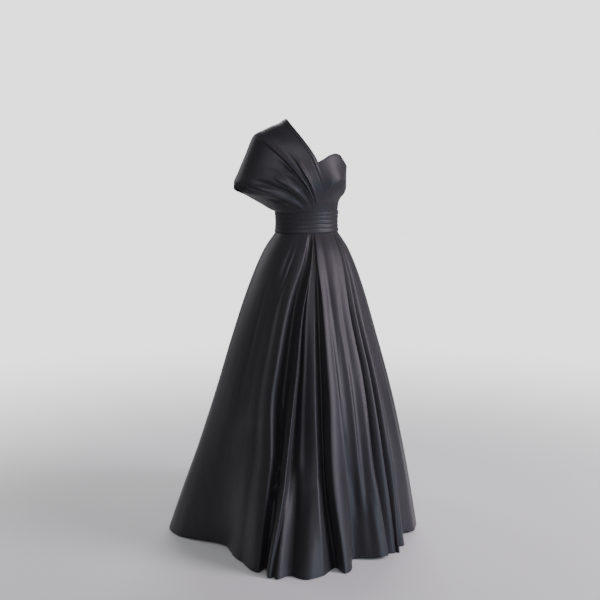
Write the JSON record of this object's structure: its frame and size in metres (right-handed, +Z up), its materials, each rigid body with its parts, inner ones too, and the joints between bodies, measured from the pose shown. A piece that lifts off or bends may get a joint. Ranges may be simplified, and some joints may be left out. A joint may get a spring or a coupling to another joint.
{
  "type": "one-shoulder evening dress",
  "caption": "Floor-length one-shoulder evening dress with a draped cape sleeve, a pleated waistband and a full pleated skirt, in dark satin, worn pose.",
  "frame": {"origin": "middle of the waist, inside the dress at half the waistband's height, where the wearer holds it up", "axes": "+Z up, -Y the front of the dress, +X the wearer's left"},
  "size_m": [0.8924, 1.0397, 1.4719],
  "materials": {
    "satin": "charcoal satin, soft sheen",
    "zip_metal": "blackened, satin"
  },
  "bodies": {
    "dress": {"bodice_front": "satin", "bodice_back": "satin", "drape_front": "satin", "drape_back": "satin", "waistband_front": "satin", "waistband_back": "satin", "skirt_front_right": "satin", "skirt_front_centre": "satin", "skirt_front_left": "satin", "skirt_back_left": "satin", "skirt_back_right": "satin", "zip_slider": "zip_metal"},
    "zip_pull": {"zip_pull": "zip_metal"}
  },
  "joints": [
    {"name": "zip_pull_hinge", "type": "hinge", "parent": "dress", "child": "zip_pull", "pos_m": [0.14736, 0, 0.164], "axis": [0, -1, 0], "range_deg": [0, 150]}
  ]
}
